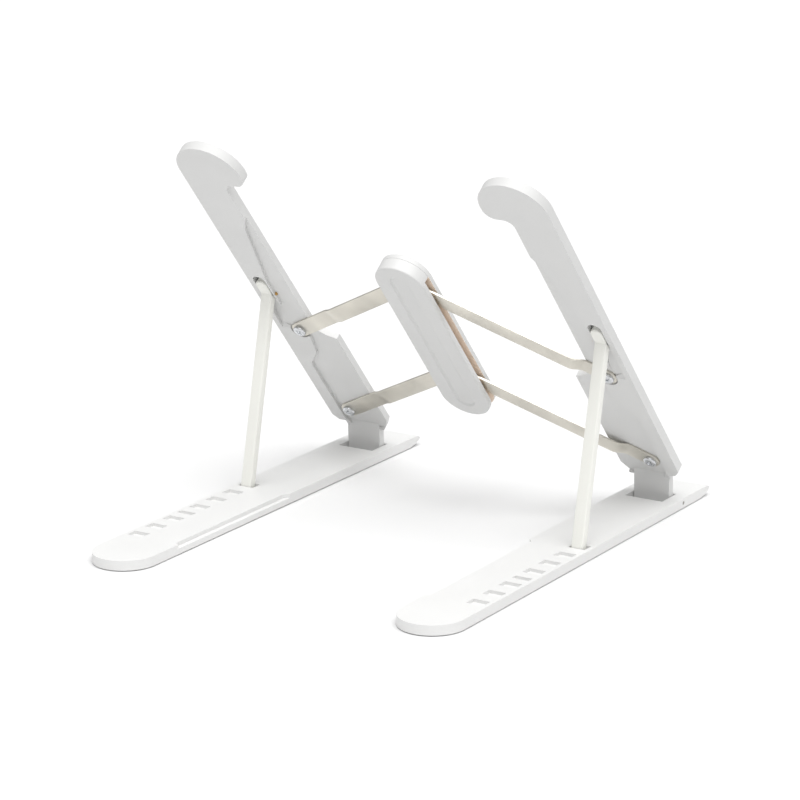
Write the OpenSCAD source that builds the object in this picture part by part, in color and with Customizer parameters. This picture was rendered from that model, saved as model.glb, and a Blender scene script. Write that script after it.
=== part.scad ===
// Folding laptop stand: two bases, two arms, two struts, four steel links and a centre hub.
// Millimetres, +Z up. Origin: centre of the footprint, on the surface the stand rests on.
// +X runs across the stand, +Y runs towards the hinge end. The left side is -X.
// Arm-plane coordinates are (x, s, n): s up the arm from the hinge pin, n out of its underside.

/* [Bases] */
// Overall base length
base_l = 248; // [244:1:252]
// Base width
base_w = 33.2; // [32.8:0.2:34]
// Base thickness
base_t = 4.9; // [4.6:0.1:5.4]
// Distance between the outer sides of the two bases
span_w = 206; // [205:0.5:207]
// Depth of the strut notches
notch_d = 1.7; // [1.5:0.1:1.9]
// Spacing of the strut notches
notch_pitch = 13.9; // [13.4:0.1:14.2]

/* [Arms] */
// Angle of the arms above the bases
arm_tilt = 51; // [49.5:0.5:52]
// Arm thickness
arm_t = 5; // [4.9:0.1:5.6]
// Distance up the arm from the hinge pin to the centre of the head
head_s = 215; // [212:0.5:218]
// Radius of the arm head
head_r = 18; // [17:0.5:18.5]
// Depth of the link recess in the underside
recess_d = 1.5; // [1.4:0.1:1.6]

/* [Struts] */
// Strut width
strut_w = 6.2; // [5.8:0.1:6.6]
// Strut thickness
strut_t = 4.2; // [4:0.1:4.3]

/* [Links and hub] */
// Link length between pivots
link_l = 105.2; // [104:0.1:105.4]
// Link angle from the cross direction
link_a = 31.7; // [31.4:0.1:33]
// Link width
link_w = 9.4; // [9:0.1:9.6]
// Link thickness
link_t = 1.1; // [1:0.05:1.1]
// Hub length
hub_l = 116.5; // [113:0.5:117]
// Hub width
hub_w = 27.1; // [26:0.1:28]

/* [Hidden] */
$fn = 64;
eps = 0.01;
foot_h = 0.5;
foot_t = 1;
side_x = span_w / 2;
inner_x = side_x - base_w;
base_y0 = -base_l / 2;
base_z0 = foot_h;
base_z1 = base_z0 + base_t;
end_r = base_w / 2;
nose_l = 10;

// Hinge pin and the opening it crosses
pin_y = base_y0 + 220.7;
pin_z = base_z0 + 2.4;
pin_r = 1;
fit = 0.05;
open_x0 = side_x - 27.5;
open_x1 = side_x - 6.6;
open_y0 = base_y0 + 210.6;
open_y1 = base_y0 + 225.1;
pin_x0 = open_x0 - 3.2;
pin_x1 = side_x - 0.2;

// Rebate along the inner top edge
rebate_w = 2.5;
rebate_d = 2;
rebate_y0 = base_y0 + 34;
rebate_y1 = base_y0 + 128;

// Strut notches: four at the hinge side, a narrow one, then three more
notch_l = 6.2;
notch_w = 9;
notch_x = side_x - 6.7;
notch_last = base_y0 + 129.8;
notch_first = base_y0 + 38.8;
notch_thin_y = base_y0 + 77;
notch_thin_l = 3.6;

// Arm outline, right-hand side
arm_s0 = 10;
arm_drop = 6.28;
bar_in = side_x - 22.3;
head_x = side_x - head_r;
head_cut = head_s - 7.8;
end_s = arm_s0 + 3.5;
tip_r = 6;
tip = [head_x - sqrt(pow(head_r - tip_r, 2) - pow(head_s - head_cut - tip_r, 2)), head_cut + tip_r];
tip_out = (head_r + 2) / (head_r - tip_r);
notch_r = 5;
lobe_s = 87;
tab_x0 = open_x0 + 0.6;
tab_x1 = open_x1 - 0.6;
tab_t = 4.2;
recess_top = head_s - 34.3;

// Link pivots
piv_x = link_l * cos(link_a);
piv_lo = 23.6;
piv_gap = 68;
piv_hi = piv_lo + piv_gap;
link_rise = link_l * sin(link_a);
hub_lo = piv_lo + link_rise;
hub_hi = hub_lo + piv_gap;
lift = fit;
arm_n = -recess_d + lift;

// Hub levels along n
hub_n0 = -3.2;
hub_n1 = -0.5;
hub_n2 = 3;
hub_n3 = 6;
hub_s = 107.4;
layer_gap = 0.1;
left_n = hub_n1 + layer_gap;
right_n = left_n + link_t + layer_gap;
left_jog = [30, 36];
right_jog = [12, 19];

// Fasteners
screw_r = 1.5;
head_screw_r = 3.4;
screw_head_h = 1.7;
hub_screw_r = 1.6;
hub_head_r = 3.3;
hub_head_h = 1;
hub_floor = 2;
channel_w = 10.6;
channel_d = 0.9;
cross_w = 0.7;

// Feet under each base
foot_ys = [base_y0 + 22, base_y0 + 118, base_y0 + 192];

// Strut pivot and foot
strut_x = side_x - 6.7;
strut_s = 120;
strut_n = -1.4;
knuckle_r = 2.3;
strut_pin_r = 1;
heel_l = 10.4;
heel_t = 4.3;
pocket_w = strut_w + 0.9;
pocket_s1 = 134;
pocket_d = 4.2;
ear_x = strut_x - pocket_w / 2 - 1.1;
pin_out = 0.7;
strut_y = pin_y - strut_s * cos(arm_tilt) + (arm_drop - strut_n) * sin(arm_tilt);
strut_z = pin_z + strut_s * sin(arm_tilt) + (arm_drop - strut_n) * cos(arm_tilt);
foot_r = strut_t / 2;
foot_y = notch_last - notch_l / 2 + foot_r + fit;
foot_z = base_z1 - notch_d + foot_r + fit;
strut_len = sqrt(pow(strut_y - foot_y, 2) + pow(strut_z - foot_z, 2));
strut_lean = atan2(strut_y - foot_y, strut_z - foot_z);

// Anti-slip pads on the arms
pad_t = 1.2;
pad_sunk = 0.6;

// Places children drawn in arm-plane coordinates
module in_arm() {
    translate([0, pin_y, pin_z])
        rotate([180 - arm_tilt, 0, 0])
            translate([0, 0, -arm_drop])
                children();
}

// Flat shape with round ends, centred, its length along Y
module stadium(l, w) {
    square([w, l - w], center = true);
    for (e = [-1, 1]) {
        translate([0, e * (l - w) / 2])
            circle(d = w);
    }
}

// Bar with side-view polygon pts given as (y, z), spanning x0 to x1
module side_profile(x0, x1, pts) {
    translate([x0, 0, 0])
        rotate([90, 0, 90])
            linear_extrude(height = x1 - x0)
                polygon(pts);
}

// ---- base, right-hand side ----

module notch(y, l) {
    translate([notch_x - notch_w / 2, y - l / 2, base_z1 - notch_d])
        cube([notch_w, l, notch_d + 1]);
}

module foot_seat(y, h) {
    translate([inner_x + base_w / 2, y, 0])
        linear_extrude(height = h)
            stadium(20, 9);
}

module base_body() {
    z0 = base_z0;
    z1 = base_z1;
    y1 = base_y0 + base_l;
    difference() {
        union() {
            translate([inner_x + end_r, base_y0 + end_r, z0])
                cylinder(r = end_r, h = base_t, $fn = 128);
            side_profile(inner_x, side_x, [[base_y0 + end_r, z0], [y1 - nose_l, z0],
                [y1 - 5, z0 + 0.8], [y1 - 1.6, z0 + 2.1], [y1, z0 + 3.3],
                [y1 - 0.3, z1 - 0.9], [y1 - 1.6, z1 - 0.3], [y1 - 4, z1], [base_y0 + end_r, z1]]);
        }
        // Opening for the arm tab
        translate([open_x0, open_y0, z0 - 1])
            cube([open_x1 - open_x0, open_y1 - open_y0, base_t + 2]);
        // Hinge pin bore
        translate([pin_x0, pin_y, pin_z])
            rotate([0, 90, 0])
                cylinder(r = pin_r, h = base_w);
        // Rebate with a slanted end
        translate([0, 0, z1 - rebate_d])
            linear_extrude(height = rebate_d + 1)
                polygon([[inner_x - 1, rebate_y0], [inner_x + rebate_w, rebate_y0 + 3],
                    [inner_x + rebate_w, rebate_y1 - 3], [inner_x - 1, rebate_y1 + 1]]);
        for (i = [0:3]) {
            notch(notch_last - i * notch_pitch, notch_l);
        }
        for (i = [0:2]) {
            notch(notch_first + i * notch_pitch, notch_l);
        }
        notch(notch_thin_y, notch_thin_l);
        for (y = foot_ys) {
            foot_seat(y, foot_t);
        }
    }
}

module base_feet() {
    for (y = foot_ys) {
        foot_seat(y, foot_t);
    }
}

module hinge_pin() {
    translate([pin_x0, pin_y, pin_z])
        rotate([0, 90, 0])
            cylinder(r = pin_r, h = pin_x1 - pin_x0);
}

// ---- arm, right-hand side ----

module arm_outline() {
    translate([bar_in, arm_s0])
        square([side_x - bar_in, head_s - arm_s0]);
    difference() {
        translate([head_x, head_s])
            circle(r = head_r, $fn = 160);
        translate([head_x - head_r - 1, head_s - head_r - 1])
            square([bar_in - head_x + head_r + 1, head_cut - head_s + head_r + 1]);
        // Rounded lower corner of the head
        difference() {
            polygon([tip, [tip[0], head_cut - 1], [head_x - head_r - 1, head_cut - 1],
                [head_x + (tip[0] - head_x) * tip_out, head_s + (tip[1] - head_s) * tip_out]]);
            translate(tip)
                circle(r = tip_r);
        }
    }
    // Concave corner under the head
    difference() {
        translate([bar_in - notch_r, head_cut - notch_r])
            square([notch_r + eps, notch_r + eps]);
        translate([bar_in - notch_r, head_cut - notch_r])
            circle(r = notch_r);
    }
    // Lower lobe
    polygon([[bar_in + 1, arm_s0], [side_x - 29.5, arm_s0], [inner_x - 0.1, arm_s0 + 6.5],
        [inner_x - 0.1, lobe_s], [inner_x + 5.7, lobe_s + 2], [bar_in + 0.2, lobe_s + 7],
        [bar_in + 1, lobe_s + 7]]);
}

module recess_outline() {
    polygon([[inner_x - 5, recess_top + 3], [bar_in - 1, recess_top + 3], [bar_in + 3.8, recess_top - 7.5],
        [ear_x, 131], [ear_x, 112], [strut_x + pocket_w / 2, 108], [strut_x + pocket_w / 2, 96],
        [piv_x + 4, piv_hi + 1.5], [piv_x - 4.2, piv_hi - 4.6], [piv_x - 3, 78.5], [piv_x - 1.9, 73.5],
        [piv_x + 2.4, 67.5], [piv_x + 5.4, 64], [piv_x + 6.1, 60.5], [piv_x + 6.1, 16],
        [piv_x + 3.5, arm_s0 + 0.9], [side_x - 30, arm_s0 + 0.9], [inner_x - 5, arm_s0 - 1]]);
    for (s = [piv_lo, piv_hi]) {
        translate([piv_x, s])
            circle(r = link_w / 2 + 0.6);
    }
}

module strut_pocket() {
    intersection() {
        side_profile(strut_x - pocket_w / 2, strut_x + pocket_w / 2, [[92.5, 0.1], [95, 0.1 - recess_d],
            [116, -pocket_d], [pocket_s1 - 2.4, -pocket_d], [pocket_s1, 0.1], [pocket_s1, 1], [92.5, 1]]);
        translate([strut_x, 0, -arm_t])
            linear_extrude(height = arm_t + 2) {
                translate([0, pocket_s1 - pocket_w / 2])
                    circle(d = pocket_w);
                translate([-pocket_w / 2, 80])
                    square([pocket_w, pocket_s1 - pocket_w / 2 - 80]);
            }
    }
}

// Pad shapes: centre s, length, width, centre x
upper_pad = [180, 78, 12, side_x - 11];
lower_pad = [55, 44, 12, side_x - 14];

module pad(p, n0, h) {
    translate([p[3], p[0], n0])
        linear_extrude(height = h)
            stadium(p[1], p[2]);
}

module arm_plate() {
    difference() {
        translate([0, 0, -arm_t])
            linear_extrude(height = arm_t)
                arm_outline();
        translate([0, 0, -recess_d])
            linear_extrude(height = recess_d + 1)
                recess_outline();
        strut_pocket();
        // Strut pin bore, open at the inner ear
        translate([ear_x - pin_out - 0.1, strut_s, strut_n])
            rotate([0, 90, 0])
                cylinder(r = strut_pin_r, h = side_x - 1 - ear_x + pin_out + 0.1);
        for (s = [piv_lo, piv_hi]) {
            translate([piv_x, s, -arm_t + 1])
                cylinder(r = screw_r, h = arm_t);
        }
        for (p = [upper_pad, lower_pad]) {
            pad(p, -arm_t - 1, pad_sunk + 1);
        }
        // Shorter lower end with a bevelled corner outside the tab
        translate([0, 0, -arm_t - 1])
            linear_extrude(height = arm_t + 2)
                polygon([[tab_x1 + 0.3, arm_s0 - 1], [tab_x1 + 0.3, end_s], [side_x - 3, end_s],
                    [side_x, end_s + 3.7], [side_x + 1, end_s + 3.7], [side_x + 1, arm_s0 - 1]]);
    }
}

module arm_tab() {
    top = (arm_drop + arm_t - 0.3) / cos(arm_tilt);
    slant = tab_t / 2 * tan(arm_tilt);
    difference() {
        translate([0, pin_y, pin_z])
            union() {
                side_profile(tab_x0, tab_x1, [[-tab_t / 2, 0], [tab_t / 2, 0],
                    [tab_t / 2, top - slant], [-tab_t / 2, top + slant]]);
                translate([tab_x0, 0, 0])
                    rotate([0, 90, 0])
                        cylinder(d = tab_t, h = tab_x1 - tab_x0);
            }
        translate([tab_x0 - 1, pin_y, pin_z])
            rotate([0, 90, 0])
                cylinder(r = pin_r + fit, h = tab_x1 - tab_x0 + 2);
    }
}

module arm_body() {
    union() {
        in_arm()
            arm_plate();
        arm_tab();
    }
}

module arm_pad(p) {
    in_arm()
        pad(p, -arm_t + pad_sunk - pad_t, pad_t);
}

// ---- strut, right-hand side ----

module strut_body() {
    difference() {
        union() {
            translate([strut_x - strut_w / 2, strut_y, strut_z])
                rotate([-strut_lean, 0, 0])
                    rotate([0, 90, 0])
                        linear_extrude(height = strut_w) {
                            circle(r = knuckle_r);
                            translate([0, -strut_t / 2])
                                square([strut_len, strut_t]);
                            translate([strut_len, 0])
                                circle(r = foot_r);
                        }
            // Heel that lies in the arm's pocket
            in_arm()
                translate([strut_x, strut_s, strut_n - heel_t / 2])
                    linear_extrude(height = heel_t) {
                        translate([0, heel_l - strut_w / 2])
                            circle(d = strut_w);
                        translate([-strut_w / 2, 0])
                            square([strut_w, heel_l - strut_w / 2]);
                    }
        }
        translate([strut_x - strut_w / 2 - 1, strut_y, strut_z])
            rotate([0, 90, 0])
                cylinder(r = strut_pin_r + fit, h = strut_w + 2);
    }
}

module strut_pin() {
    in_arm()
        translate([ear_x - pin_out, strut_s, strut_n])
            rotate([0, 90, 0])
                cylinder(r = strut_pin_r, h = side_x - 1 - ear_x + pin_out);
}

// ---- links and fasteners ----

// Link from an arm pivot to the hub line; jog is where its step starts and ends
module link_body(side, s, hub_level, jog) {
    in_arm()
        translate([side * piv_x, s, 0])
            rotate([0, 0, side > 0 ? 180 - link_a : link_a])
                difference() {
                    intersection() {
                        translate([link_l / 2, 0, -5])
                            rotate([0, 0, 90])
                                linear_extrude(height = 12)
                                    stadium(link_l + link_w, link_w);
                        translate([0, link_w, 0])
                            rotate([90, 0, 0])
                                linear_extrude(height = 2 * link_w)
                                    polygon([[-link_w, arm_n], [jog[0], arm_n], [jog[1], hub_level],
                                        [link_l + link_w, hub_level], [link_l + link_w, hub_level + link_t],
                                        [jog[1], hub_level + link_t], [jog[0], arm_n + link_t],
                                        [-link_w, arm_n + link_t]]);
                    }
                    translate([0, 0, -5])
                        cylinder(r = screw_r + fit, h = 12);
                    translate([link_l, 0, -5])
                        cylinder(r = hub_screw_r + fit, h = 12);
                }
}

// Pan-head screw with a cross recess
module pan_screw() {
    n0 = arm_n + link_t + fit;
    difference() {
        union() {
            translate([0, 0, -arm_t + 1])
                cylinder(r = screw_r, h = arm_t - 1 + n0 + eps);
            translate([0, 0, n0])
                cylinder(r = head_screw_r, h = 0.8);
            translate([0, 0, n0 + 0.8])
                cylinder(r1 = head_screw_r, r2 = head_screw_r - 1.1, h = screw_head_h - 0.8);
        }
        for (a = [0, 90]) {
            translate([0, 0, n0 + screw_head_h - 0.5])
                rotate([0, 0, a + 20])
                    cube([2.9, cross_w, 2], center = true);
        }
    }
}

module link_screws(side) {
    in_arm()
        for (s = [piv_lo, piv_hi]) {
            translate([side * piv_x, s, 0])
                pan_screw();
        }
}

// ---- hub ----

module hub_outline() {
    translate([0, hub_s])
        stadium(hub_l, hub_w);
}

// Shallow channel with round ends and walls that slope at 45 degrees, its floor at zero
module channel() {
    straight = hub_l - 14 - channel_w;
    low = channel_w / 2 - channel_d;
    top = channel_d + 0.2;
    for (e = [-1, 1]) {
        translate([0, e * straight / 2, 0])
            cylinder(r1 = low, r2 = low + top, h = top);
    }
    rotate([90, 0, 0])
        linear_extrude(height = straight, center = true)
            polygon([[-low, 0], [low, 0], [low + top, top], [-low - top, top]]);
}

module hub_lower() {
    difference() {
        union() {
            translate([0, 0, hub_n2])
                linear_extrude(height = hub_n3 - hub_n2)
                    hub_outline();
            // Closed wall at the head end only, so the links can swing out of the sides
            translate([0, 0, hub_n1])
                linear_extrude(height = hub_n3 - hub_n1)
                    intersection() {
                        hub_outline();
                        translate([-hub_w, hub_hi + 7])
                            square([2 * hub_w, hub_w]);
                    }
        }
        // Screw bores
        for (s = [hub_lo, hub_hi]) {
            translate([0, s, hub_n1 - 1])
                cylinder(r = hub_screw_r, h = hub_n3 - hub_n1 + 1 - hub_floor);
        }
        translate([0, hub_s, hub_n3 - channel_d])
            channel();
    }
}

module hub_upper() {
    difference() {
        translate([0, 0, hub_n0])
            linear_extrude(height = hub_n1 - hub_n0)
                hub_outline();
        for (s = [hub_lo, hub_hi]) {
            translate([0, s, hub_n0 - 1])
                cylinder(r = hub_screw_r, h = 6);
            translate([0, s, hub_n0 - 1])
                cylinder(r = hub_head_r + 0.1, h = hub_head_h + 1);
        }
    }
}

module hub_screw_set() {
    for (s = [hub_lo, hub_hi]) {
        translate([0, s, hub_n0])
            difference() {
                union() {
                    cylinder(r = hub_head_r, h = hub_head_h);
                    cylinder(r = hub_screw_r, h = hub_n3 - hub_floor - hub_n0);
                }
                for (a = [0, 90]) {
                    rotate([0, 0, a])
                        cube([3, cross_w, 1.2], center = true);
                }
            }
    }
}

// ---- sub-parts ----

module left_base() {
    color("white")
        mirror([1, 0, 0])
            base_body();
}

module right_base() {
    color("white")
        base_body();
}

module left_base_feet() {
    color("gainsboro")
        mirror([1, 0, 0])
            base_feet();
}

module right_base_feet() {
    color("gainsboro")
        base_feet();
}

module left_hinge_pin() {
    color("silver")
        mirror([1, 0, 0])
            hinge_pin();
}

module right_hinge_pin() {
    color("silver")
        hinge_pin();
}

module left_arm() {
    color("white")
        mirror([1, 0, 0])
            arm_body();
}

module right_arm() {
    color("white")
        arm_body();
}

module left_upper_pad() {
    color("gainsboro")
        mirror([1, 0, 0])
            arm_pad(upper_pad);
}

module left_lower_pad() {
    color("gainsboro")
        mirror([1, 0, 0])
            arm_pad(lower_pad);
}

module right_upper_pad() {
    color("gainsboro")
        arm_pad(upper_pad);
}

module right_lower_pad() {
    color("gainsboro")
        arm_pad(lower_pad);
}

module left_strut() {
    color("whitesmoke")
        mirror([1, 0, 0])
            strut_body();
}

module right_strut() {
    color("whitesmoke")
        strut_body();
}

module left_strut_pin() {
    color("goldenrod")
        mirror([1, 0, 0])
            strut_pin();
}

module right_strut_pin() {
    color("goldenrod")
        strut_pin();
}

module left_upper_link() {
    color("lightgray")
        link_body(-1, piv_hi, left_n, left_jog);
}

module left_lower_link() {
    color("lightgray")
        link_body(-1, piv_lo, left_n, left_jog);
}

module right_upper_link() {
    color("lightgray")
        link_body(1, piv_hi, right_n, right_jog);
}

module right_lower_link() {
    color("lightgray")
        link_body(1, piv_lo, right_n, right_jog);
}

module left_link_screws() {
    color("silver")
        link_screws(-1);
}

module right_link_screws() {
    color("silver")
        link_screws(1);
}

module hub_lower_shell() {
    color("white")
        in_arm()
            hub_lower();
}

module hub_upper_shell() {
    color("white")
        in_arm()
            hub_upper();
}

module hub_screws() {
    color("silver")
        in_arm()
            hub_screw_set();
}

left_base();
right_base();
left_base_feet();
right_base_feet();
left_hinge_pin();
right_hinge_pin();
left_arm();
right_arm();
left_upper_pad();
left_lower_pad();
right_upper_pad();
right_lower_pad();
left_strut();
right_strut();
left_strut_pin();
right_strut_pin();
left_upper_link();
left_lower_link();
right_upper_link();
right_lower_link();
left_link_screws();
right_link_screws();
hub_lower_shell();
hub_upper_shell();
hub_screws();
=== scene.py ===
"""Folding laptop stand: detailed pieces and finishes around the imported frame."""

import math

import bmesh
import bpy
import numpy as np
from bpy.props import FloatProperty, FloatVectorProperty, PointerProperty
from bpy.types import Operator, Panel, PropertyGroup
from mathutils import Matrix, Vector


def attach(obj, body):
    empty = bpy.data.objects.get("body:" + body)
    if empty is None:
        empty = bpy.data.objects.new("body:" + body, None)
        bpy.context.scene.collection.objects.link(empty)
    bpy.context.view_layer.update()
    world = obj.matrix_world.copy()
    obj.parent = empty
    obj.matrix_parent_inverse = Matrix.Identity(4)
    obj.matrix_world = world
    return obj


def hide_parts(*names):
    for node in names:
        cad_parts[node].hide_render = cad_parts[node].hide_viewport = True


bl_info = {
    "name": "Folding Laptop Stand",
    "version": (1, 0, 0),
    "blender": (4, 5, 0),
    "location": "3D View > Sidebar > Laptop Stand",
    "description": "Builds the detailed pieces, finishes and studio of a folding laptop stand",
    "category": "Object",
}

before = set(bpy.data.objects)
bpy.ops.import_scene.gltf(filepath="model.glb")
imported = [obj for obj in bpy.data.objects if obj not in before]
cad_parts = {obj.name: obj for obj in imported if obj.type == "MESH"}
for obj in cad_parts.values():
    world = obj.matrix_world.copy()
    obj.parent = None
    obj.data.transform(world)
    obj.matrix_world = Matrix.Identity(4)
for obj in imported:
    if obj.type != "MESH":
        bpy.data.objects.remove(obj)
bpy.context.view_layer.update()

MM = 0.001
SIDES = (("left", -1), ("right", 1))

# Lengths in millimetres, in the row frame
PIN_Y, PIN_Z = 96.7, 2.9  # hinge pin
ARM_TILT = math.radians(51)
ARM_DROP = 6.28  # from the hinge pin to the plane of the arm's underside
ARM_T = 5.0
LINK_LENGTH = 105.2
LINK_ANGLE = math.radians(31.7)
PIVOT_X = LINK_LENGTH * math.cos(LINK_ANGLE)
LINK_RISE = LINK_LENGTH * math.sin(LINK_ANGLE)
PIVOTS = {"lower": 23.6, "upper": 91.6}
LINK_WIDTH, LINK_T = 9.4, 1.1
ARM_LEVEL = -1.45
HUB_LEVEL = {"left": -0.4, "right": 0.8}
LINK_STEP = {"left": (30, 36), "right": (12, 19)}
HUB_GAP = (-0.5, 3.0)  # along n, between the two shells
HUB_OPEN = (49.0, 153.8)  # along s, where the gap is open at the sides
HUB_TOP, HUB_BOTTOM = -3.2, 6.0
HUB_MID, HUB_HALF, HUB_END_R = 107.4, 58.25, 13.55  # middle and half length along s
HUB_RIM_R = 12.8  # edges further out than this belong to the outer rim
SEAT_X, SEAT_HALF = 92.0, 6.3  # pad seats: middle and half width across
SEAT_RUN = (30.0, 222.0)  # along s
STRUT_X, STRUT_W, STRUT_T = 96.3, 6.2, 4.2
STRUT_PIVOT = (27.15, 100.99)
STRUT_FOOT = (4.85, 5.85)
STRUT_HEEL = (-1.4, 2.15)  # middle and half thickness along n
HEEL_S = (119.2, 127.3)  # its square end, and the middle of its round end
KNUCKLE_R = 2.3


def hex_to_linear(code, alpha=1.0):
    """Each sRGB byte over 255, straightened: a twelfth-or-so of it when dark,
    else ((c + 0.055) / 1.055) ** 2.4.
    """
    parts = [int(code[i : i + 2], 16) / 255 for i in (1, 3, 5)]
    return tuple(
        c / 12.92 if c <= 0.04045 else ((c + 0.055) / 1.055) ** 2.4 for c in parts
    ) + (alpha,)


# ---------------------------------------------------------------- settings


class StandLook(PropertyGroup):
    """Sizes and colours a user would change"""

    soft_edge: FloatProperty(
        name="Soft edge",
        description="Radius of the softened edges of the moulded pieces",
        default=0.45 * MM,
        min=0.1 * MM,
        max=0.8 * MM,
        unit="LENGTH",
    )
    top_edge: FloatProperty(
        name="Laptop-side edge",
        description="Radius of the edges on the laptop side of the arms",
        default=1.3 * MM,
        min=0.2 * MM,
        max=1.6 * MM,
        unit="LENGTH",
    )
    grain: FloatProperty(
        name="Mould grain",
        description="Width of the fine grain on the moulded plastic",
        default=0.5 * MM,
        min=0.2 * MM,
        max=2 * MM,
        unit="LENGTH",
    )
    plastic: FloatVectorProperty(
        name="Plastic",
        description="Colour of the bases, arms and hub",
        subtype="COLOR",
        size=4,
        min=0,
        max=1,
        default=hex_to_linear("#E4E4E3"),
    )
    strut_plastic: FloatVectorProperty(
        name="Strut plastic",
        description="Colour of the two struts",
        subtype="COLOR",
        size=4,
        min=0,
        max=1,
        default=hex_to_linear("#EEEEE8"),
    )
    steel: FloatVectorProperty(
        name="Link steel",
        description="Colour of the steel links",
        subtype="COLOR",
        size=4,
        min=0,
        max=1,
        default=hex_to_linear("#E0DCD2"),
    )
    silicone: FloatVectorProperty(
        name="Pad silicone",
        description="Colour of the anti-slip pads",
        subtype="COLOR",
        size=4,
        min=0,
        max=1,
        default=hex_to_linear("#CFD0D0"),
    )
    daylight: FloatProperty(
        name="Soft light",
        description="Strength of the even light from all round",
        default=0.4,
        min=0,
        max=3,
    )
    overhead: FloatProperty(
        name="Overhead light",
        description="Strength of the wide soft light from above",
        default=3.2,
        min=0,
        max=10,
    )


# ---------------------------------------------------------------- materials


def add_node(tree, kind, settings=None, links=None):
    """Adds one node; settings fill sockets (by name or number) or properties,
    links feed sockets from (node, output).
    """
    node = tree.nodes.new(kind)
    for key, value in (settings or {}).items():
        if isinstance(key, int) or key in node.inputs:
            node.inputs[key].default_value = value
        else:
            setattr(node, key, value)
    for key, (source, output) in (links or {}).items():
        tree.links.new(source.outputs[output], node.inputs[key])
    return node


def new_material(name):
    """An empty node material with its output node."""
    material = bpy.data.materials.new(name)
    material.use_nodes = True
    tree = material.node_tree
    tree.nodes.clear()
    return material, tree, add_node(tree, "ShaderNodeOutputMaterial")


def scaled(colour, factor):
    """The colour with its three channels multiplied by factor, kept at most 1."""
    return tuple(min(1.0, c * factor) for c in colour[:3]) + (1.0,)


def moulded_plastic(name, colour, grain, roughness=0.42, tone=0.025, inside=None):
    """Injection-moulded satin plastic: an even white with slow cloudy tone changes,
    and a spark-eroded grain that softens its highlights.
    """
    material, tree, out = new_material(name)
    place = add_node(tree, "ShaderNodeTexCoord")
    # slow flow clouds about 35 mm across, from the melt cooling unevenly
    clouds = add_node(
        tree,
        "ShaderNodeTexNoise",
        {"Scale": 1 / (35 * MM), "Detail": 3.0, "Roughness": 0.45},
        {"Vector": (place, "Object")},
    )
    tint = add_node(tree, "ShaderNodeValToRGB", None, {"Fac": (clouds, "Fac")})
    tint.color_ramp.elements[0].color = scaled(colour, 1 + tone)
    tint.color_ramp.elements[1].color = scaled(colour, 1 - 2 * tone)
    if inside:
        # painted light: the inner faces in the gap between the shells take a light warm tan, a painted warm
        # glow of the light reflected inside the gap; the inner faces show a warm tan through the gap; its
        # cause is not known
        c, k = math.cos(ARM_TILT), math.sin(ARM_TILT)
        spans = (
            ((0, -k, -c), HUB_GAP, ARM_DROP + PIN_Y * k + PIN_Z * c),
            ((0, -c, k), HUB_OPEN, PIN_Y * c - PIN_Z * k),
        )
        within = []
        for direction, (low, high), zero in spans:
            level = add_node(
                tree,
                "ShaderNodeVectorMath",
                {"operation": "DOT_PRODUCT", 1: direction},
                {0: (place, "Object")},
            )
            off = add_node(
                tree,
                "ShaderNodeMath",
                {"operation": "SUBTRACT", 1: ((low + high) / 2 - zero) * MM},
                {0: (level, "Value")},
            )
            size = add_node(
                tree, "ShaderNodeMath", {"operation": "ABSOLUTE"}, {0: (off, "Value")}
            )
            half = (high - low) / 2
            within.append(
                add_node(
                    tree,
                    "ShaderNodeMapRange",
                    {"From Min": (half + 0.2) * MM, "From Max": (half + 0.02) * MM},
                    {"Value": (size, "Value")},
                )
            )
        # mask of the painted warm glow: faces within both spans of the gap
        gap_glow_mask = add_node(
            tree,
            "ShaderNodeMath",
            {"operation": "MULTIPLY"},
            {0: (within[0], "Result"), 1: (within[1], "Result")},
        )
        tint = add_node(
            tree,
            "ShaderNodeMix",
            {"data_type": "RGBA", 7: inside},
            {0: (gap_glow_mask, "Value"), 6: (tint, "Color")},
        )
    # the real grain is about 0.1 mm and can't show at this distance, so it is drawn coarser
    fine = add_node(
        tree,
        "ShaderNodeTexNoise",
        {"Scale": 1 / (grain * MM), "Detail": 2.0, "Roughness": 0.6},
        {"Vector": (place, "Object")},
    )
    # faint sink waves about 18 mm across show as soft uneven gloss
    waves = add_node(
        tree,
        "ShaderNodeTexNoise",
        {"Scale": 1 / (18 * MM), "Detail": 1.0},
        {"Vector": (place, "Object")},
    )
    gloss = add_node(
        tree,
        "ShaderNodeMapRange",
        {
            "From Min": 0.3,
            "From Max": 0.7,
            "To Min": roughness - 0.05,
            "To Max": roughness + 0.07,
        },
        {"Value": (waves, "Fac")},
    )
    sink = add_node(
        tree,
        "ShaderNodeBump",
        {"Strength": 0.35, "Distance": 0.05 * MM},
        {"Height": (waves, "Fac")},
    )
    bump = add_node(
        tree,
        "ShaderNodeBump",
        {"Strength": 0.3, "Distance": 0.02 * MM},
        {"Height": (fine, "Fac"), "Normal": (sink, "Normal")},
    )
    shader = add_node(
        tree,
        "ShaderNodeBsdfPrincipled",
        {"IOR": 1.49},
        {"Roughness": (gloss, "Result"), "Normal": (bump, "Normal")},
    )
    tree.links.new(tint.outputs[2 if inside else 0], shader.inputs["Base Color"])
    tree.links.new(shader.outputs["BSDF"], out.inputs["Surface"])
    return material


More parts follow.
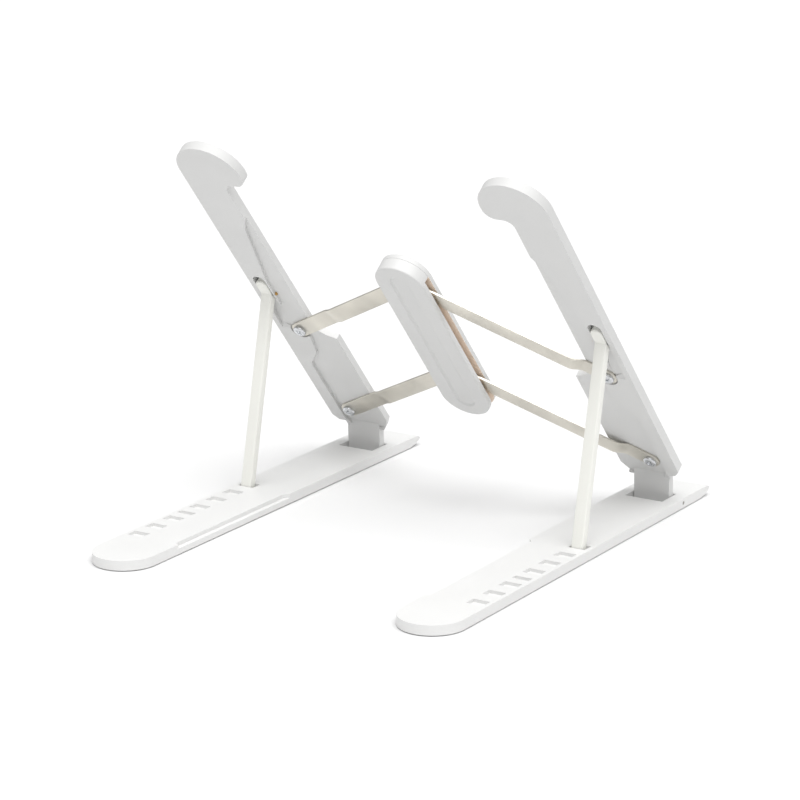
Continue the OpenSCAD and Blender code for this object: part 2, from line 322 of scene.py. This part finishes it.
def rolled_steel(name, colour):
    """Cold-rolled steel strip: fine straight roll lines in its satin gloss,
    under slow changes from light to warm grey along its length.
    """
    material, tree, out = new_material(name)
    place = add_node(tree, "ShaderNodeTexCoord")
    # UV is in metres along and across the strip; lines 0.25 mm apart and 12 mm long
    lines_at = add_node(
        tree,
        "ShaderNodeMapping",
        {"Scale": (1 / (12 * MM), 1 / (0.25 * MM), 1.0)},
        {"Vector": (place, "UV")},
    )
    lines = add_node(
        tree,
        "ShaderNodeTexNoise",
        {"Scale": 1.0, "Detail": 4.0, "Roughness": 0.6},
        {"Vector": (lines_at, "Vector")},
    )
    # slow tone changes 30 mm long that hardly vary across the strip
    slow_at = add_node(
        tree,
        "ShaderNodeMapping",
        {"Scale": (1 / (30 * MM), 1 / (45 * MM), 1.0)},
        {"Vector": (place, "UV")},
    )
    slow = add_node(
        tree,
        "ShaderNodeTexNoise",
        {"Scale": 1.0, "Detail": 2.0},
        {"Vector": (slow_at, "Vector")},
    )
    tint = add_node(tree, "ShaderNodeValToRGB", None, {"Fac": (slow, "Fac")})
    tint.color_ramp.elements[0].position = 0.35
    tint.color_ramp.elements[0].color = scaled(colour, 0.84)
    tint.color_ramp.elements[1].position = 0.65
    tint.color_ramp.elements[1].color = scaled(colour, 1.12)
    gloss = add_node(
        tree,
        "ShaderNodeMapRange",
        {"From Min": 0.3, "From Max": 0.7, "To Min": 0.34, "To Max": 0.42},
        {"Value": (lines, "Fac")},
    )
    bump = add_node(
        tree,
        "ShaderNodeBump",
        {"Strength": 0.25, "Distance": 0.006 * MM},
        {"Height": (lines, "Fac")},
    )
    shader = add_node(
        tree,
        "ShaderNodeBsdfPrincipled",
        {"Metallic": 1.0, "Anisotropic": 0.5},
        {
            "Base Color": (tint, "Color"),
            "Roughness": (gloss, "Result"),
            "Normal": (bump, "Normal"),
        },
    )
    tree.links.new(shader.outputs["BSDF"], out.inputs["Surface"])
    return material


def turned_metal(name, colour, roughness, grain):
    """Small bright metal parts, plated or turned: a clean reflection broken by
    a fine mottle in tone and gloss.
    """
    material, tree, out = new_material(name)
    place = add_node(tree, "ShaderNodeTexCoord")
    mottle = add_node(
        tree,
        "ShaderNodeTexNoise",
        {"Scale": 1 / (grain * MM), "Detail": 3.0, "Roughness": 0.55},
        {"Vector": (place, "Object")},
    )
    tint = add_node(tree, "ShaderNodeValToRGB", None, {"Fac": (mottle, "Fac")})
    tint.color_ramp.elements[0].position = 0.3
    tint.color_ramp.elements[0].color = scaled(colour, 0.8)
    tint.color_ramp.elements[1].position = 0.7
    tint.color_ramp.elements[1].color = scaled(colour, 1.08)
    gloss = add_node(
        tree,
        "ShaderNodeMapRange",
        {"To Min": roughness - 0.06, "To Max": roughness + 0.08},
        {"Value": (mottle, "Fac")},
    )
    shader = add_node(
        tree,
        "ShaderNodeBsdfPrincipled",
        {"Metallic": 1.0},
        {"Base Color": (tint, "Color"), "Roughness": (gloss, "Result")},
    )
    tree.links.new(shader.outputs["BSDF"], out.inputs["Surface"])
    return material


def moulded_silicone(name, colour, roughness=0.62):
    """Moulded silicone rubber: soft and slightly see-through at the edges, matt,
    with a powdery fine grain.
    """
    material, tree, out = new_material(name)
    place = add_node(tree, "ShaderNodeTexCoord")
    powder = add_node(
        tree,
        "ShaderNodeTexNoise",
        {"Scale": 1 / (0.8 * MM), "Detail": 3.0, "Roughness": 0.7},
        {"Vector": (place, "Object")},
    )
    tint = add_node(tree, "ShaderNodeValToRGB", None, {"Fac": (powder, "Fac")})
    tint.color_ramp.elements[0].position = 0.3
    tint.color_ramp.elements[0].color = scaled(colour, 0.93)
    tint.color_ramp.elements[1].position = 0.7
    tint.color_ramp.elements[1].color = scaled(colour, 1.03)
    bump = add_node(
        tree,
        "ShaderNodeBump",
        {"Strength": 0.5, "Distance": 0.03 * MM},
        {"Height": (powder, "Fac")},
    )
    shader = add_node(
        tree,
        "ShaderNodeBsdfPrincipled",
        {
            "Roughness": roughness,
            "IOR": 1.41,
            "Subsurface Weight": 0.15,
            "Subsurface Scale": 1.5 * MM,
        },
        {"Base Color": (tint, "Color"), "Normal": (bump, "Normal")},
    )
    tree.links.new(shader.outputs["BSDF"], out.inputs["Surface"])
    return material


def finish_for(name):
    """The material of one slot, made the first time it is asked for."""
    known = bpy.data.materials.get(name)
    if known:
        return known
    look = bpy.context.scene.stand_look
    grain = look.grain / MM
    makers = {
        "satin_moulded_white_base": lambda: moulded_plastic(
            name, tuple(look.plastic), grain
        ),
        # the arms and hub take the base plastic darkened, as painted shade for their undersides that face
        # away from the overhead light
        "satin_moulded_white_arm": lambda: moulded_plastic(
            name, scaled(look.plastic, 0.88), grain, 0.45
        ),
        # the hub's last colour is the painted warm glow on its faces inside the gap between the shells
        "satin_moulded_white_hub": lambda: moulded_plastic(
            name, scaled(look.plastic, 0.89), grain, 0.4, 0.025, hex_to_linear("#F8E9DA")
        ),
        "satin_moulded_warm_white_strut": lambda: moulded_plastic(
            name, tuple(look.strut_plastic), grain, 0.36
        ),
        "cold_rolled_steel_strip": lambda: rolled_steel(name, tuple(look.steel)),
        "bright_zinc_plated_steel": lambda: turned_metal(
            name, hex_to_linear("#DFE1E4"), 0.24, 0.9
        ),
        "ground_steel_pin": lambda: turned_metal(
            name, hex_to_linear("#9A9894"), 0.34, 0.5
        ),
        "turned_brass": lambda: turned_metal(name, hex_to_linear("#CDA25C"), 0.3, 0.6),
        "moulded_silicone_pad": lambda: moulded_silicone(name, tuple(look.silicone)),
        "moulded_rubber_foot": lambda: moulded_silicone(
            name, hex_to_linear("#B9B9B7"), 0.75
        ),
    }
    return makers[name]()


# ---------------------------------------------------------------- mesh helpers


def arm_to_world(x, s, n):
    """Arm-plane arrays to the row frame in metres: s runs up the arm from the
    hinge pin, n out of its underside.
    """
    c, k = math.cos(ARM_TILT), math.sin(ARM_TILT)
    y = PIN_Y - s * c + (ARM_DROP - n) * k
    z = PIN_Z + s * k + (ARM_DROP - n) * c
    return np.stack([x + 0 * y, y, z], axis=-1) * MM


def grid_faces(rows, cols, close_cols):
    """Quads of a grid of rows by cols points, wrapping round the columns if they are closed."""
    r = np.arange(rows - 1)[:, None]
    c = np.arange(cols if close_cols else cols - 1)[None, :]
    d = (c + 1) % cols
    quads = np.stack(
        [r * cols + c, r * cols + d, (r + 1) * cols + d, (r + 1) * cols + c], axis=-1
    )
    return quads.reshape(-1, 4)


def make_piece(name, grids, body, nodes, material, uvs=None, smooth=35):
    """One object from several surface grids: doubles merged, normals recalculated
    outwards, its place in its mesh.
    """
    points = np.concatenate([g.reshape(-1, 3) for g, _ in grids])
    faces, start = [], 0
    for g, close in grids:
        faces.append(grid_faces(g.shape[0], g.shape[1], close) + start)
        start += g.shape[0] * g.shape[1]
    faces = np.concatenate(faces)
    mesh = bpy.data.meshes.new(name)
    mesh.from_pydata(points.tolist(), [], faces.tolist())
    if uvs is not None:
        flat = np.concatenate([u.reshape(-1, 2) for u in uvs])
        layer = mesh.uv_layers.new(name="along")
        layer.data.foreach_set("uv", flat[faces.ravel()].ravel())
    work = bmesh.new()
    work.from_mesh(mesh)
    bmesh.ops.remove_doubles(work, verts=work.verts, dist=0.004 * MM)
    bmesh.ops.dissolve_degenerate(work, edges=work.edges, dist=0.001 * MM)
    bmesh.ops.recalc_face_normals(work, faces=work.faces)
    work.to_mesh(mesh)
    work.free()
    return place_piece(name, mesh, body, nodes, material, smooth)


def place_piece(name, mesh, body, nodes, material, smooth):
    """Links the mesh as an object that rides on its body and stands for its CAD nodes."""
    mesh.shade_smooth()
    if smooth:
        mesh.set_sharp_from_angle(angle=math.radians(smooth))
    mesh.materials.clear()
    mesh.materials.append(finish_for(material))
    piece = bpy.data.objects.new(name, mesh)
    bpy.context.scene.collection.objects.link(piece)
    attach(piece, body)
    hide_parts(*nodes)
    return piece


def softened_copy(node, name, body, material, edge_weight):
    """A merged copy of a CAD node with its sharp edges rounded; edge_weight turns
    edge mid points (mm) and directions into radii.
    """
    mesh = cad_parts[node].data.copy()
    mesh.name = name
    work = bmesh.new()
    work.from_mesh(mesh)
    bmesh.ops.remove_doubles(work, verts=work.verts, dist=0.004 * MM)
    bmesh.ops.dissolve_limit(
        work, angle_limit=math.radians(0.8), verts=work.verts, edges=work.edges
    )
    work.normal_update()
    sharp = np.array(
        [
            e.is_manifold and e.calc_face_angle(0) > math.radians(28)
            for e in work.edges
        ]
    )
    work.to_mesh(mesh)
    work.free()
    ends = np.empty(len(mesh.edges) * 2, dtype=np.int32)
    mesh.edges.foreach_get("vertices", ends)
    points = np.empty(len(mesh.vertices) * 3)
    mesh.vertices.foreach_get("co", points)
    points = points.reshape(-1, 3) / MM
    ends = ends.reshape(-1, 2)
    mids = (points[ends[:, 0]] + points[ends[:, 1]]) / 2
    runs = points[ends[:, 1]] - points[ends[:, 0]]
    look = bpy.context.scene.stand_look
    radii = edge_weight(mids, runs, look) * sharp
    widest = float(radii.max())
    weights = mesh.attributes.new("bevel_weight_edge", "FLOAT", "EDGE")
    weights.data.foreach_set("value", (radii / widest).astype(np.float32))
    piece = place_piece(name, mesh, body, [node], material, 0)
    rounding = piece.modifiers.new("soft edges", "BEVEL")
    rounding.limit_method = "WEIGHT"
    rounding.offset_type = "OFFSET"
    rounding.width = widest
    rounding.segments = 3
    rounding.use_clamp_overlap = True
    rounding.miter_outer = "MITER_ARC"
    # large flat faces lead the shading, so it stays even right up to the rounded edges
    shading = piece.modifiers.new("flat faces", "WEIGHTED_NORMAL")
    shading.mode = "FACE_AREA"
    shading.weight = 50
    shading.keep_sharp = True
    return piece


def slab(outline, normals, spine, rim, to_world, along=None):
    """Closed slab: each rim row (d, h) is the outline moved in by d along its
    normals at height h; the first and last rows meet on the spine.
    """
    rows = [(spine, rim[0][1])]
    rows += [(outline - d * normals, h) for d, h in rim]
    rows += [(spine, rim[-1][1])]
    flat = np.stack([p for p, _ in rows])
    height = np.array([h for _, h in rows])[:, None] * np.ones(len(outline))
    surface = to_world(flat[..., 0], flat[..., 1], height)
    if along is None:
        return surface, None
    return surface, np.stack([flat[..., along], flat[..., 1 - along]], axis=-1) * MM


def stadium(length, width, steps=20, straight=40):
    """Round-ended outline with its length along b, as points, outward normals
    and the middle line they close to.
    """
    r = width / 2
    half = length / 2 - r
    turn = np.linspace(0, math.pi, steps)
    run = np.linspace(half, -half, straight)[1:-1]
    top = np.stack([r * np.cos(turn), half + r * np.sin(turn)], axis=-1)
    left = np.stack([-r + 0 * run, run], axis=-1)
    outline = np.concatenate([top, left, -top, -left])
    spine = np.stack([0 * outline[:, 0], np.clip(outline[:, 1], -half, half)], axis=-1)
    return outline, (outline - spine) / r, spine


def soft_rim(low, high, edge, top_edge=None, steps=5):
    """Rim rows of a slab from its low face to its high face with quarter-round edges."""
    top_edge = edge if top_edge is None else top_edge
    a = np.linspace(0, math.pi / 2, steps)
    down = [(edge * (1 - math.sin(t)), low + edge * (1 - math.cos(t))) for t in a]
    up = [
        (top_edge * (1 - math.cos(t)), high - top_edge * (1 - math.sin(t))) for t in a
    ]
    return down + up


def lathe(profile, steps, to_world, centre):
    """The profile of (radius, height) pairs carried round its axis; its two ends
    lie on the axis.
    """
    turn = np.linspace(0, 2 * math.pi, steps, endpoint=False)
    r, h = np.array(profile).T
    a = centre[0] + r[:, None] * np.cos(turn)
    b = centre[1] + r[:, None] * np.sin(turn)
    return to_world(a, b, h[:, None] + 0 * a)


def cross_head(radius, rim_h, crown_h, base, recess, to_world, centre, spin=0.35):
    """Screw head over a disc: a crown that falls as a smooth step to the rim,
    less a tapered cross cut where either arm's soft box is high.
    """
    turn = np.linspace(0, 2 * math.pi, 120, endpoint=False)
    share = np.concatenate([np.linspace(0, 0.7, 44), np.linspace(0.7, 1, 14)[1:]])
    r = radius * share[:, None] + 0 * turn
    u = r * np.cos(turn + spin)
    v = r * np.sin(turn + spin)
    fall = np.clip((share - 0.55) / 0.45, 0, 1)[:, None]
    height = rim_h + (crown_h - rim_h) * np.sqrt(1 - fall**2 * 0.999)
    width, reach, soft = recess["width"], recess["reach"], 0.1

    def box(p, q):
        across = np.clip((width / 2 + soft - np.abs(p)) / (2 * soft), 0, 1)
        out = np.clip((reach - np.abs(q)) / (reach * 0.45), 0, 1)
        return across * out

    cut = np.maximum(box(u, v), box(v, u))
    height = height - recess["depth"] * cut
    x = centre[0] + r * np.cos(turn)
    s = centre[1] + r * np.sin(turn)
    top = to_world(x, s, base + height)
    skirt_h = np.array([rim_h * 0.55, 0.0])[:, None]
    skirt_r = np.array([radius, radius])[:, None]
    skirt = to_world(
        centre[0] + skirt_r * np.cos(turn),
        centre[1] + skirt_r * np.sin(turn),
        base + skirt_h + 0 * turn,
    )
    middle = to_world(0 * turn + centre[0], 0 * turn + centre[1], base + 0 * turn)
    return np.concatenate([top, skirt, middle[None]])


# ---------------------------------------------------------------- moulded pieces


def base_edges(mids, runs, look):
    """Every base edge takes the soft radius, and the hidden walls of the tab's
    opening half of it.
    """
    side = np.abs(mids[:, 0])
    inside = (side > 75) & (side < 97) & (mids[:, 1] > 86) & (mids[:, 1] < 101.6)
    return np.where(inside, 0.5, 1.0) * look.soft_edge


class STAND_OT_bases(Operator):
    """Builds the two bases with softened edges"""

    bl_idname = "stand.bases"
    bl_label = "Bases"

    def execute(self, context):
        for side, _ in SIDES:
            softened_copy(
                f"{side}_base",
                f"{side}_base_moulding",
                f"{side}_base",
                "satin_moulded_white_base",
                base_edges,
            )
        return {"FINISHED"}


def arm_edges(mids, runs, look):
    """Arm edges on the laptop side take the wide radius, and all others the soft one."""
    c, k = math.cos(ARM_TILT), math.sin(ARM_TILT)
    n = ARM_DROP - (mids[:, 1] - PIN_Y) * k - (mids[:, 2] - PIN_Z) * c
    s = (PIN_Y - mids[:, 1]) * c + (mids[:, 2] - PIN_Z) * k
    laptop_side = (np.abs(n + ARM_T) < 0.2) & (s > 9)
    across = np.abs(np.abs(mids[:, 0]) - SEAT_X) < SEAT_HALF
    pad_seat = across & (s > SEAT_RUN[0]) & (s < SEAT_RUN[1])
    wide = laptop_side & ~pad_seat
    return np.where(wide, look.top_edge, look.soft_edge * 0.7)


class STAND_OT_arms(Operator):
    """Builds the two arms with rounded laptop-side edges"""

    bl_idname = "stand.arms"
    bl_label = "Arms"

    def execute(self, context):
        for side, _ in SIDES:
            softened_copy(
                f"{side}_arm",
                f"{side}_arm_moulding",
                f"{side}_arm",
                "satin_moulded_white_arm",
                arm_edges,
            )
        return {"FINISHED"}


def hub_edges(mids, runs, look):
    """Outer rim edges of the hub take a wide radius, and the screw bores and the
    lip of its face channel a small one.
    """
    c, k = math.cos(ARM_TILT), math.sin(ARM_TILT)
    s = (PIN_Y - mids[:, 1]) * c + (mids[:, 2] - PIN_Z) * k
    n = ARM_DROP - (mids[:, 1] - PIN_Y) * k - (mids[:, 2] - PIN_Z) * c
    far = np.clip(np.abs(s - HUB_MID) - (HUB_HALF - HUB_END_R), 0, None)
    rim = np.hypot(mids[:, 0], far) > HUB_RIM_R
    outer = rim & ((n < HUB_TOP + 0.2) | (n > HUB_BOTTOM - 0.2))
    return np.where(outer, 0.58 * look.top_edge, 0.5 * look.soft_edge)


class STAND_OT_hub(Operator):
    """Builds the two shells of the hub"""

    bl_idname = "stand.hub"
    bl_label = "Hub shells"

    def execute(self, context):
        for shell in ("lower", "upper"):
            softened_copy(
                f"hub_{shell}_shell",
                f"hub_{shell}_moulding",
                "hub",
                "satin_moulded_white_hub",
                hub_edges,
            )
        return {"FINISHED"}


def strut_outline(length, steps=14):
    """Side view of a strut, as (across, along): a knuckle arc that narrows as
    a smooth step to the bar, and a round foot.
    """
    foot = STRUT_T / 2
    neck = 7.0
    turn = np.linspace(-math.pi / 2, math.pi / 2, steps)
    tip = np.stack([foot * np.sin(turn[::-1]), length + foot * np.cos(turn)], axis=-1)
    run = np.linspace(length, 0, 60)[1:]
    ease = np.clip(run / neck, 0, 1)
    half = foot + (KNUCKLE_R - foot) * (1 - ease) ** 2 * (1 + 2 * ease)
    head = np.stack([KNUCKLE_R * np.sin(turn), -KNUCKLE_R * np.cos(turn)], axis=-1)
    right = np.stack([half[::-1], run[::-1]], axis=-1)[1:]
    left = np.stack([-half, run], axis=-1)[:-1]
    outline = np.concatenate([right, tip, left, head])
    spine = np.stack(
        [0 * outline[:, 0], np.clip(outline[:, 1], 0, length)], axis=-1
    )
    normals = outline - spine
    return outline, normals / np.linalg.norm(normals, axis=1)[:, None], spine


class STAND_OT_struts(Operator):
    """Builds the two struts: a soft-edged bar with a round foot, and a heel that lies in the arm's pocket"""

    bl_idname = "stand.struts"
    bl_label = "Struts"

    def execute(self, context):
        look = context.scene.stand_look
        (y0, z0), (y1, z1) = STRUT_PIVOT, STRUT_FOOT
        length = math.hypot(y1 - y0, z1 - z0)
        dy, dz = (y1 - y0) / length, (z1 - z0) / length
        edge = look.soft_edge / MM
        rim = soft_rim(-STRUT_W / 2, STRUT_W / 2, 1.4 * edge)
        middle, half = STRUT_HEEL
        reach = (HEEL_S[1] - HEEL_S[0]) / 2
        heel_shape, heel_normals, heel_spine = stadium(
            2 * reach + STRUT_W, STRUT_W, straight=8
        )
        # the end inside the knuckle is cut square
        heel_shape[:, 1] = np.maximum(heel_shape[:, 1], -reach)
        heel_spine[:, 1] = np.maximum(heel_spine[:, 1], 1 - reach)
        for side, sign in SIDES:

            def to_world(a, b, h):
                y = y0 + b * dy + a * dz
                z = z0 + b * dz - a * dy
                return np.stack([sign * (STRUT_X + h), y, z], axis=-1) * MM

            bar, _ = slab(*strut_outline(length), rim, to_world)
            heel, _ = slab(
                heel_shape,
                heel_normals,
                heel_spine,
                soft_rim(middle - half, middle + half, 0.5 * edge, 1.4 * edge),
                lambda a, b, h: arm_to_world(
                    sign * (STRUT_X + a), HEEL_S[0] + reach + b, h
                ),
            )
            make_piece(
                f"{side}_strut_moulding",
                [(bar, True), (heel, True)],
                f"{side}_strut",
                [f"{side}_strut"],
                "satin_moulded_warm_white_strut",
            )
        return {"FINISHED"}


# ---------------------------------------------------------------- soft trim


class STAND_OT_pads(Operator):
    """Builds the silicone pads on the arms"""

    bl_idname = "stand.pads"
    bl_label = "Anti-slip pads"

    def execute(self, context):
        rows = {"upper": (180, 78, 12, 92.0), "lower": (55, 44, 12, 89.0)}
        for side, sign in SIDES:
            for level, (s0, length, width, x0) in rows.items():
                outline, normals, spine = stadium(length, width)
                rim = soft_rim(-ARM_T - 0.6, -ARM_T + 0.6, 0.5, 0.1)
                # a shallow lip and dished face, so the pad reads as its own moulding
                rim = [(1.8, -ARM_T - 0.42), (1.3, -ARM_T - 0.42), (1.1, -ARM_T - 0.6)] + rim
                surface, _ = slab(
                    outline,
                    normals,
                    spine,
                    rim,
                    lambda a, b, h: arm_to_world(sign * (x0 + a), s0 + b, h),
                )
                make_piece(
                    f"{side}_{level}_pad_moulding",
                    [(surface, True)],
                    f"{side}_arm",
                    [f"{side}_{level}_pad"],
                    "moulded_silicone_pad",
                )
        return {"FINISHED"}


class STAND_OT_feet(Operator):
    """Builds the rubber feet under the bases"""

    bl_idname = "stand.feet"
    bl_label = "Feet"

    def execute(self, context):
        outline, normals, spine = stadium(20, 9, straight=6)
        rim = soft_rim(0.0, 1.0, 0.25, 0.05)
        for side, sign in SIDES:
            grids = []
            for y0 in (-102, -6, 68):
                surface, _ = slab(
                    outline,
                    normals,
                    spine,
                    rim,
                    lambda a, b, h: np.stack([sign * (86.4 + a), y0 + b, h], axis=-1)
                    * MM,
                )
                grids.append((surface, True))
            make_piece(
                f"{side}_base_foot_set",
                grids,
                f"{side}_base",
                [f"{side}_base_feet"],
                "moulded_rubber_foot",
            )
        return {"FINISHED"}


# ---------------------------------------------------------------- metal pieces


def link_place(side, sign, level):
    """How a link's own plan (across, along) and height go to the row frame,
    with the step eased in along its length.
    """
    low, high = LINK_STEP[side]
    rise = HUB_LEVEL[side] - ARM_LEVEL

    def to_world(a, b, h):
        d = b + LINK_LENGTH / 2
        ease = np.clip((d - low) / (high - low), 0, 1)
        lift = rise * ease * ease * (3 - 2 * ease)
        x = sign * (PIVOT_X - d * math.cos(LINK_ANGLE) - a * math.sin(LINK_ANGLE))
        s = PIVOTS[level] + d * math.sin(LINK_ANGLE) - a * math.cos(LINK_ANGLE)
        return arm_to_world(x, s, ARM_LEVEL + h + lift)

    return to_world


class STAND_OT_links(Operator):
    """Builds the four steel links, each a strip with round ends and one step"""

    bl_idname = "stand.links"
    bl_label = "Steel links"

    def execute(self, context):
        outline, normals, spine = stadium(
            LINK_LENGTH + LINK_WIDTH, LINK_WIDTH, straight=90
        )
        rim = soft_rim(0.0, LINK_T, 0.16, 0.22)
        for side, sign in SIDES:
            for level in PIVOTS:
                surface, uv = slab(
                    outline, normals, spine, rim, link_place(side, sign, level), 1
                )
                make_piece(
                    f"{side}_{level}_link_strip",
                    [(surface, True)],
                    f"{side}_{level}_link",
                    [f"{side}_{level}_link"],
                    "cold_rolled_steel_strip",
                    uvs=[uv],
                )
        return {"FINISHED"}


class STAND_OT_screws(Operator):
    """Builds the pan-head screws of the links and the flat screws of the hub"""

    bl_idname = "stand.screws"
    bl_label = "Screws"

    def execute(self, context):
        seat = ARM_LEVEL + LINK_T + 0.05
        pan = {"width": 0.75, "reach": 2.0, "depth": 1.0}
        for side, sign in SIDES:
            grids = []
            for k, s0 in enumerate(PIVOTS.values()):
                spin = 0.35 + 0.5 * k + (0.3 if sign > 0 else 0.0)
                head = cross_head(
                    3.4, 0.8, 1.7, seat, pan, arm_to_world, (sign * PIVOT_X, s0), spin
                )
                shank = lathe(
                    [(0, -4.0), (1.5, -4.0), (1.5, seat + 0.1), (0, seat + 0.1)],
                    32,
                    arm_to_world,
                    (sign * PIVOT_X, s0),
                )
                grids += [(head, True), (shank, True)]
            make_piece(
                f"{side}_link_screw_pair",
                grids,
                f"{side}_arm",
                [f"{side}_link_screws"],
                "bright_zinc_plated_steel",
                smooth=50,
            )
        flat = {"width": 0.75, "reach": 2.0, "depth": 0.7}
        grids = []
        for s0 in PIVOTS.values():
            place = (0.0, s0 + LINK_RISE)
            head = cross_head(
                3.3,
                0.75,
                1.0,
                0.0,
                flat,
                lambda x, s, h: arm_to_world(x, s, HUB_TOP + 1.0 - h),
                place,
            )
            shank = lathe(
                [(0, -2.3), (1.6, -2.3), (1.6, 4.0), (0, 4.0)],
                32,
                arm_to_world,
                place,
            )
            grids += [(head, True), (shank, True)]
        make_piece(
            "hub_screw_pair",
            grids,
            "hub",
            ["hub_screws"],
            "bright_zinc_plated_steel",
            smooth=50,
        )
        return {"FINISHED"}


class STAND_OT_pins(Operator):
    """Builds the steel hinge pins and the brass strut pins with chamfered ends"""

    bl_idname = "stand.pins"
    bl_label = "Pins"

    def execute(self, context):
        y_strut, z_strut = STRUT_PIVOT
        kinds = (
            ("hinge", "base", 72.3, 102.8, 1.0, PIN_Y, PIN_Z, "pin_steel", "ground_steel_pin"),
            ("strut", "arm", 90.95, 102.0, 1.0, y_strut, z_strut, "pin_brass", "turned_brass"),
        )
        for side, sign in SIDES:
            for kind, body, x0, x1, r, y0, z0, slot, finish in kinds:
                bevel = 0.2
                profile = [(0, x0), (r - bevel, x0), (r, x0 + bevel)]
                profile += [(r, x1 - bevel), (r - bevel, x1), (0, x1)]
                surface = lathe(
                    profile,
                    40,
                    lambda a, b, h: np.stack([sign * h, a, b], axis=-1) * MM,
                    (y0, z0),
                )
                make_piece(
                    f"{side}_{kind}_pin_turned",
                    [(surface, True)],
                    f"{side}_{body}",
                    [f"{side}_{kind}_pin"],
                    finish,
                )
        return {"FINISHED"}


# ---------------------------------------------------------------- studio


def painted_floor(name):
    """Matt painted board: near white, with a barely seen roller mottle."""
    material, tree, out = new_material(name)
    place = add_node(tree, "ShaderNodeTexCoord")
    mottle = add_node(
        tree,
        "ShaderNodeTexNoise",
        {"Scale": 1 / (60 * MM), "Detail": 2.0},
        {"Vector": (place, "Object")},
    )
    tint = add_node(tree, "ShaderNodeValToRGB", None, {"Fac": (mottle, "Fac")})
    tint.color_ramp.elements[0].color = hex_to_linear("#E6E6E6")
    tint.color_ramp.elements[1].color = hex_to_linear("#E7E7E7")
    shader = add_node(
        tree,
        "ShaderNodeBsdfPrincipled",
        {"Roughness": 0.9, "Specular IOR Level": 0.1},
        {"Base Color": (tint, "Color")},
    )
    tree.links.new(shader.outputs["BSDF"], out.inputs["Surface"])
    return material


CAMERA = {
    "azimuth": 33.45,
    "elevation": 16.11,
    "roll": -0.93,
    "distance": 1.5386,
    "target": (0.0, -0.002, 0.0605),
    "lens_mm": 143.57,
    "shift": (0.0018, 0.0129),
}


def place_camera(scene):
    """A long lens behind the stand, a little above it, looking towards its hinge end."""
    azimuth = math.radians(CAMERA["azimuth"])
    elevation = math.radians(CAMERA["elevation"])
    roll = math.radians(CAMERA["roll"])
    back = Vector(
        (
            math.sin(azimuth) * math.cos(elevation),
            -math.cos(azimuth) * math.cos(elevation),
            math.sin(elevation),
        )
    )
    right = Vector((math.cos(azimuth), math.sin(azimuth), 0.0))
    up = back.cross(right)
    right, up = (
        math.cos(roll) * right + math.sin(roll) * up,
        math.cos(roll) * up - math.sin(roll) * right,
    )
    data = bpy.data.cameras.new("camera")
    data.lens = CAMERA["lens_mm"]
    data.sensor_width = 36.0
    data.shift_x, data.shift_y = CAMERA["shift"]
    data.clip_end = 20.0
    camera = bpy.data.objects.new("camera", data)
    turn = Matrix((right, up, back)).transposed()
    place = Vector(CAMERA["target"]) + CAMERA["distance"] * back
    camera.matrix_world = Matrix.Translation(place) @ turn.to_4x4()
    scene.collection.objects.link(camera)
    scene.camera = camera


class STAND_OT_stage(Operator):
    """Lays the pale floor, the soft lights and the camera"""

    bl_idname = "stand.stage"
    bl_label = "Studio"

    def execute(self, context):
        scene = context.scene
        look = scene.stand_look
        mesh = bpy.data.meshes.new("floor")
        half = 4.0
        mesh.from_pydata(
            [(-half, -half, 0), (half, -half, 0), (half, half, 0), (-half, half, 0)],
            [],
            [(0, 1, 2, 3)],
        )
        mesh.materials.append(painted_floor("matt_painted_board"))
        floor = bpy.data.objects.new("floor", mesh)
        scene.collection.objects.link(floor)
        world = bpy.data.worlds.new("studio")
        scene.world = world
        world.use_nodes = True
        background = world.node_tree.nodes["Background"]
        background.inputs["Color"].default_value = (1, 1, 1, 1)
        background.inputs["Strength"].default_value = look.daylight
        lamp = bpy.data.lights.new("overhead", "SUN")
        lamp.energy = look.overhead
        lamp.angle = math.radians(75)
        light = bpy.data.objects.new("overhead", lamp)
        light.rotation_euler = (math.radians(12), math.radians(14), 0)
        scene.collection.objects.link(light)
        scene.view_settings.view_transform = "Standard"
        place_camera(scene)
        return {"FINISHED"}


# ---------------------------------------------------------------- add-on


class STAND_PT_panel(Panel):
    """Settings and steps of the stand in the sidebar"""

    bl_label = "Laptop Stand"
    bl_idname = "STAND_PT_panel"
    bl_space_type = "VIEW_3D"
    bl_region_type = "UI"
    bl_category = "Laptop Stand"

    def draw(self, context):
        layout = self.layout
        for key in StandLook.__annotations__:
            layout.prop(context.scene.stand_look, key)
        for step in STEPS:
            layout.operator(step.bl_idname)


STEPS = (
    STAND_OT_bases,
    STAND_OT_arms,
    STAND_OT_hub,
    STAND_OT_struts,
    STAND_OT_pads,
    STAND_OT_feet,
    STAND_OT_links,
    STAND_OT_screws,
    STAND_OT_pins,
    STAND_OT_stage,
)
CLASSES = (StandLook, *STEPS, STAND_PT_panel)


def register():
    for cls in CLASSES:
        bpy.utils.register_class(cls)
    bpy.types.Scene.stand_look = PointerProperty(type=StandLook)


def unregister():
    del bpy.types.Scene.stand_look
    for cls in reversed(CLASSES):
        bpy.utils.unregister_class(cls)


def main():
    """Registers the add-on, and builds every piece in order."""
    register()
    bpy.ops.stand.bases()
    bpy.ops.stand.arms()
    bpy.ops.stand.hub()
    bpy.ops.stand.struts()
    bpy.ops.stand.pads()
    bpy.ops.stand.feet()
    bpy.ops.stand.links()
    bpy.ops.stand.screws()
    bpy.ops.stand.pins()
    bpy.ops.stand.stage()


if __name__ == "__main__":
    main()
